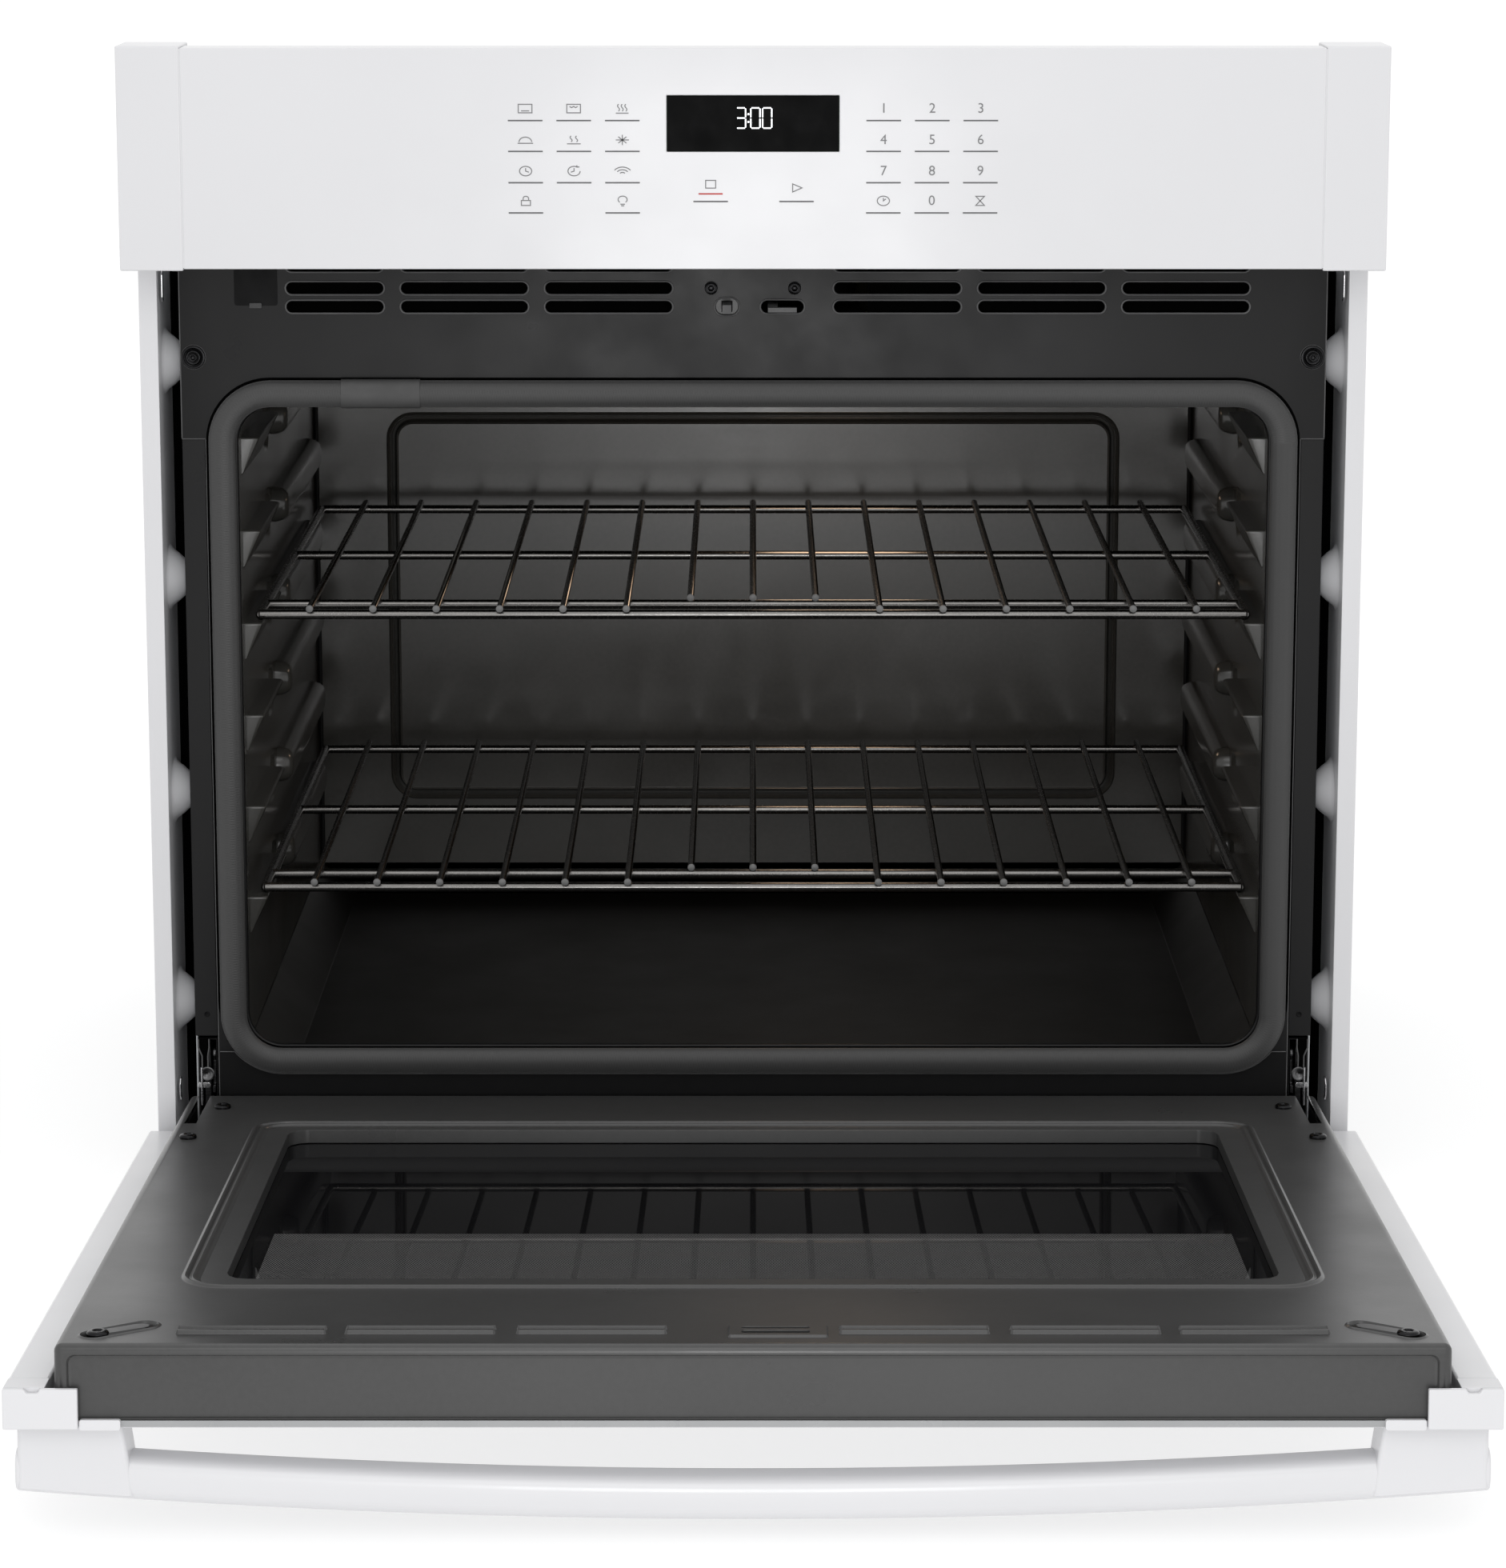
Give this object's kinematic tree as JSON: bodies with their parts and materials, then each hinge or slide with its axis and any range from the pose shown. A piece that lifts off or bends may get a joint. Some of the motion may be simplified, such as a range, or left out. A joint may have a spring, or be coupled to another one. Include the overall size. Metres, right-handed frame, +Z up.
{
  "type": "wall oven",
  "caption": "Built-in wall oven with a drop-down door, enamelled cavity, sliding wire racks, flat touch control panel and a bowed bar handle.",
  "frame": {"origin": "on the underside of the base pan, midway across, on the plane of the cabinet's face", "axes": "+X to the right seen from the front, +Y back into the cabinet, +Z up"},
  "size_m": [0.756, 1.1511, 0.727],
  "materials": {
    "white_paint": "semi-gloss white enamel paint",
    "white_glass": "glass painted white on its back",
    "dark_enamel": "glossy dark grey porcelain enamel",
    "black_paint": "semi-gloss black",
    "zinc_steel": "galvanised sheet",
    "dark_wire": "heat-darkened steel wire",
    "dark_glass": "dark reflective glass",
    "gasket_rope": "woven fibreglass rope",
    "mineral_wool": "mineral wool",
    "black_plastic": "moulded, matt",
    "circuit_board": "solder mask",
    "lamp_glass": "clear domed lens"
  },
  "bodies": {
    "chassis": {"base_pan": "zinc_steel", "back_panel": "zinc_steel", "top_cover": "zinc_steel", "front_frame": "black_paint", "bottom_trim": "white_paint", "side_panel_left": "zinc_steel", "side_panel_right": "zinc_steel", "side_trim_left": "white_paint", "side_trim_right": "white_paint", "control_panel": "white_paint", "display_window": "dark_glass", "control_tray": "zinc_steel", "control_board": "circuit_board", "panel_end_cap_left": "white_paint", "panel_end_cap_right": "white_paint", "cavity_wall_left": "dark_enamel", "cavity_wall_right": "dark_enamel", "cavity_ceiling": "dark_enamel", "cavity_floor": "dark_enamel", "cavity_back_wall": "dark_enamel", "door_gasket": "gasket_rope", "broil_element": "dark_wire", "bake_element": "dark_wire", "oven_lamp": "lamp_glass", "temperature_sensor": "zinc_steel", "insulation_blanket": "mineral_wool", "fan_housing": "zinc_steel", "fan_motor": "black_plastic", "lock_bracket": "zinc_steel", "switch_body": "black_plastic", "conduit_gland": "zinc_steel", "hinge_receiver_left": "zinc_steel", "hinge_receiver_right": "zinc_steel", "hinge_arm_left": "zinc_steel", "hinge_arm_right": "zinc_steel"},
    "door": {"door_outer_glass": "white_glass", "door_liner": "dark_enamel", "window_frame": "dark_enamel", "door_inner_glass": "dark_glass", "door_heat_glass": "dark_glass", "door_side_trim_left": "white_paint", "door_side_trim_right": "white_paint", "door_end_cap_left": "white_paint", "door_end_cap_right": "white_paint", "hinge_channel_left": "zinc_steel", "hinge_channel_right": "zinc_steel", "hinge_pin_left": "zinc_steel", "hinge_pin_right": "zinc_steel", "handle_bar": "white_paint", "handle_post_left": "white_paint", "handle_post_right": "white_paint"},
    "upper_rack": {"upper_rack": "dark_wire"},
    "lower_rack": {"lower_rack": "dark_wire"},
    "fan_wheel": {"fan_wheel": "zinc_steel"},
    "lock_hook": {"lock_hook": "zinc_steel"},
    "switch_plunger": {"switch_plunger": "black_plastic"},
    "hinge_lock_left": {"hinge_lock_left": "zinc_steel"},
    "hinge_lock_right": {"hinge_lock_right": "zinc_steel"},
    "hinge_spring_rod_left": {"hinge_spring_rod_left": "zinc_steel"},
    "hinge_spring_rod_right": {"hinge_spring_rod_right": "zinc_steel"}
  },
  "joints": [
    {"name": "door_hinge", "type": "hinge", "parent": "chassis", "child": "door", "pos_m": [0, -0.026, 0.0495], "axis": [-1, 0, 0], "range_deg": [0, 86.3]},
    {"name": "upper_rack_slide", "type": "slide", "parent": "chassis", "child": "upper_rack", "axis": [0, 1, 0], "range_m": [-0.3, 0]},
    {"name": "lower_rack_slide", "type": "slide", "parent": "chassis", "child": "lower_rack", "axis": [0, 1, 0], "range_m": [-0.3, 0]},
    {"name": "fan_spin", "type": "hinge", "parent": "chassis", "child": "fan_wheel", "pos_m": [0, 0.48, 0.58], "axis": [0, 0, 1], "continuous": true},
    {"name": "lock_slide", "type": "slide", "parent": "chassis", "child": "lock_hook", "axis": [1, 0, 0], "range_m": [0, 0.009]},
    {"name": "plunger_press", "type": "slide", "parent": "chassis", "child": "switch_plunger", "axis": [0, 1, 0], "range_m": [0, 0.006]},
    {"name": "hinge_lock_left_flip", "type": "hinge", "parent": "chassis", "child": "hinge_lock_left", "pos_m": [-0.3392, 0.022, 0.0915], "axis": [1, 0, 0], "range_deg": [-100, 0]},
    {"name": "hinge_lock_right_flip", "type": "hinge", "parent": "chassis", "child": "hinge_lock_right", "pos_m": [0.3392, 0.022, 0.0915], "axis": [1, 0, 0], "range_deg": [-100, 0]},
    {"name": "spring_rod_left_pull", "type": "slide", "parent": "door", "child": "hinge_spring_rod_left", "axis": [0, -0.9979, 0.0645], "range_m": [0, 0.012]},
    {"name": "spring_rod_right_pull", "type": "slide", "parent": "door", "child": "hinge_spring_rod_right", "axis": [0, -0.9979, 0.0645], "range_m": [0, 0.012]}
  ],
  "couplings": [
    {"joint": "plunger_press", "follows": "door_hinge", "m_per_rad": 0.00398},
    {"joint": "spring_rod_left_pull", "follows": "door_hinge", "m_per_rad": 0.0079},
    {"joint": "spring_rod_right_pull", "follows": "door_hinge", "m_per_rad": 0.0079}
  ]
}
